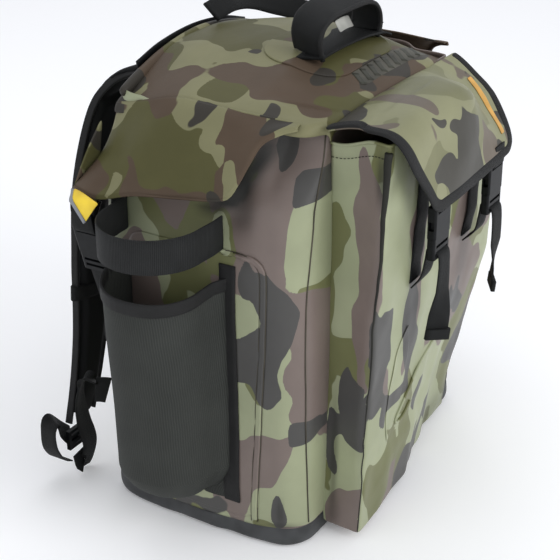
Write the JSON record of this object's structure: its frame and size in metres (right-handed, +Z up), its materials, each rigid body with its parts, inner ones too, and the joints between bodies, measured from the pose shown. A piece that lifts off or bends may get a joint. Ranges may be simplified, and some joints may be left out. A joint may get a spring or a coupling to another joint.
{
  "type": "tackle backpack",
  "caption": "Roll-top waterproof tackle backpack with a flapped front pocket, rod-tube side pockets, side-release buckles and padded shoulder straps.",
  "frame": {"origin": "centre of the bag's flat underside", "axes": "+X to the wearer's right, +Y from the front pocket towards the wearer's back, +Z up"},
  "size_m": [0.5696, 0.409, 0.531],
  "materials": {
    "camo_tarpaulin": "satin PVC-coated tarpaulin printed with four-colour woodland camouflage",
    "boot_tarpaulin": "satin charcoal PVC-coated tarpaulin",
    "pocket_mesh": "dark grey ribbed mesh",
    "padded_mesh": "black air mesh over foam",
    "webbing": "black ribbed polypropylene webbing",
    "edge_binding": "folded black grosgrain binding",
    "buckle_plastic": "black moulded acetal",
    "lining": "yellow coated lining",
    "stiffener_plastic": "black plastic strip",
    "amber_print": "amber printed strip",
    "tag_cloth": "pale woven tag"
  },
  "bodies": {
    "bag": {"base_panel": "boot_tarpaulin", "front_panel": "camo_tarpaulin", "back_panel": "camo_tarpaulin", "side_panel_left": "camo_tarpaulin", "side_panel_right": "camo_tarpaulin", "back_stiffener": "stiffener_plastic", "back_pad": "padded_mesh", "shoulder_yoke": "webbing", "side_patches": "camo_tarpaulin", "rod_pocket_left": "pocket_mesh", "rod_pocket_right": "pocket_mesh", "pocket_binding_left": "edge_binding", "pocket_binding_right": "edge_binding", "tube_strap_left": "webbing", "tube_strap_right": "webbing", "pocket_gusset": "camo_tarpaulin", "pocket_front": "camo_tarpaulin", "pocket_hem": "edge_binding", "pocket_patch": "camo_tarpaulin", "anchor_straps": "webbing", "closure_straps": "webbing", "corner_tabs": "webbing", "lower_webbings": "webbing"},
    "roll_top": {"top_panel": "camo_tarpaulin", "ear_left": "camo_tarpaulin", "ear_right": "camo_tarpaulin", "mouth_lining": "lining", "mouth_roll": "camo_tarpaulin", "mouth_stiffener": "stiffener_plastic", "handle_base": "webbing", "care_tag": "tag_cloth", "ear_tabs": "webbing", "ear_sockets": "buckle_plastic"},
    "handle": {"handle_band": "webbing"},
    "flap": {"flap_panel": "camo_tarpaulin", "flap_binding": "edge_binding", "flap_stripe": "amber_print", "flap_tabs": "webbing", "flap_sockets": "buckle_plastic"},
    "flap_clip_left": {"flap_clip_left": "buckle_plastic", "flap_tail_left": "webbing"},
    "flap_clip_right": {"flap_clip_right": "buckle_plastic", "flap_tail_right": "webbing"},
    "ear_clip_left": {"ear_clip_left": "buckle_plastic"},
    "ear_clip_right": {"ear_clip_right": "buckle_plastic"},
    "shoulder_left": {"shoulder_strap_left": "padded_mesh", "ladder_lock_left": "buckle_plastic", "strap_tail_left": "webbing"},
    "shoulder_right": {"shoulder_strap_right": "padded_mesh", "ladder_lock_right": "buckle_plastic", "strap_tail_right": "webbing"},
    "flap_prong_left_outer": {"flap_prong_left_outer": "buckle_plastic"},
    "flap_prong_left_inner": {"flap_prong_left_inner": "buckle_plastic"},
    "flap_prong_right_outer": {"flap_prong_right_outer": "buckle_plastic"},
    "flap_prong_right_inner": {"flap_prong_right_inner": "buckle_plastic"},
    "ear_prong_left_front": {"ear_prong_left_front": "buckle_plastic"},
    "ear_prong_left_back": {"ear_prong_left_back": "buckle_plastic"},
    "ear_prong_right_front": {"ear_prong_right_front": "buckle_plastic"},
    "ear_prong_right_back": {"ear_prong_right_back": "buckle_plastic"}
  },
  "joints": [
    {"name": "flap_hinge", "type": "hinge", "parent": "bag", "child": "flap", "pos_m": [0, -0.1245, 0.458], "axis": [1, 0, 0], "range_deg": [-115, 0]},
    {"name": "roll_top_lift", "type": "hinge", "parent": "bag", "child": "roll_top", "pos_m": [0, -0.119, 0.4585], "axis": [1, 0, 0], "range_deg": [0, 75]},
    {"name": "handle_lean", "type": "hinge", "parent": "roll_top", "child": "handle", "pos_m": [0, -0.05, 0.498], "axis": [1, 0, 0], "range_deg": [-20, 20]},
    {"name": "flap_unclip_left", "type": "slide", "parent": "bag", "child": "flap_clip_left", "axis": [0, 0, -1], "range_m": [0, 0.03]},
    {"name": "flap_unclip_right", "type": "slide", "parent": "bag", "child": "flap_clip_right", "axis": [0, 0, -1], "range_m": [0, 0.03]},
    {"name": "ear_unclip_left", "type": "slide", "parent": "bag", "child": "ear_clip_left", "axis": [0.2723, 0, -0.9622], "range_m": [0, 0.03]},
    {"name": "ear_unclip_right", "type": "slide", "parent": "bag", "child": "ear_clip_right", "axis": [-0.2723, 0, -0.9622], "range_m": [0, 0.03]},
    {"name": "shoulder_swing_left", "type": "hinge", "parent": "bag", "child": "shoulder_left", "pos_m": [-0.06, 0.13, 0.46], "axis": [1, 0, 0], "range_deg": [0, 35]},
    {"name": "shoulder_swing_right", "type": "hinge", "parent": "bag", "child": "shoulder_right", "pos_m": [0.06, 0.13, 0.46], "axis": [1, 0, 0], "range_deg": [0, 35]},
    {"name": "squeeze_flap_left_outer", "type": "hinge", "parent": "flap_clip_left", "child": "flap_prong_left_outer", "pos_m": [-0.0797, -0.2075, 0.336], "axis": [0, 1, 0], "range_deg": [-0.5, 8.5]},
    {"name": "squeeze_flap_left_inner", "type": "hinge", "parent": "flap_clip_left", "child": "flap_prong_left_inner", "pos_m": [-0.0563, -0.2075, 0.336], "axis": [0, -1, 0], "range_deg": [-0.5, 8.5]},
    {"name": "squeeze_flap_right_outer", "type": "hinge", "parent": "flap_clip_right", "child": "flap_prong_right_outer", "pos_m": [0.0797, -0.2075, 0.336], "axis": [0, -1, 0], "range_deg": [-0.5, 8.5]},
    {"name": "squeeze_flap_right_inner", "type": "hinge", "parent": "flap_clip_right", "child": "flap_prong_right_inner", "pos_m": [0.0563, -0.2075, 0.336], "axis": [0, 1, 0], "range_deg": [-0.5, 8.5]},
    {"name": "squeeze_ear_left_front", "type": "hinge", "parent": "ear_clip_left", "child": "ear_prong_left_front", "pos_m": [-0.22365, 0.0883, 0.30844], "axis": [-0.9622, 0, -0.2723], "range_deg": [-0.5, 8.5]},
    {"name": "squeeze_ear_left_back", "type": "hinge", "parent": "ear_clip_left", "child": "ear_prong_left_back", "pos_m": [-0.22365, 0.1117, 0.30844], "axis": [0.9622, 0, 0.2723], "range_deg": [-0.5, 8.5]},
    {"name": "squeeze_ear_right_front", "type": "hinge", "parent": "ear_clip_right", "child": "ear_prong_right_front", "pos_m": [0.22365, 0.0883, 0.30844], "axis": [-0.9622, 0, 0.2723], "range_deg": [-0.5, 8.5]},
    {"name": "squeeze_ear_right_back", "type": "hinge", "parent": "ear_clip_right", "child": "ear_prong_right_back", "pos_m": [0.22365, 0.1117, 0.30844], "axis": [0.9622, 0, -0.2723], "range_deg": [-0.5, 8.5]}
  ],
  "couplings": [
    {"joint": "squeeze_flap_left_outer", "follows": "flap_unclip_left", "rad_per_m": 4.6542},
    {"joint": "squeeze_flap_left_inner", "follows": "flap_unclip_left", "rad_per_m": 4.6542},
    {"joint": "squeeze_flap_right_outer", "follows": "flap_unclip_right", "rad_per_m": 4.6542},
    {"joint": "squeeze_flap_right_inner", "follows": "flap_unclip_right", "rad_per_m": 4.6542},
    {"joint": "squeeze_ear_left_front", "follows": "ear_unclip_left", "rad_per_m": 4.6542},
    {"joint": "squeeze_ear_left_back", "follows": "ear_unclip_left", "rad_per_m": 4.6542},
    {"joint": "squeeze_ear_right_front", "follows": "ear_unclip_right", "rad_per_m": 4.6542},
    {"joint": "squeeze_ear_right_back", "follows": "ear_unclip_right", "rad_per_m": 4.6542}
  ]
}
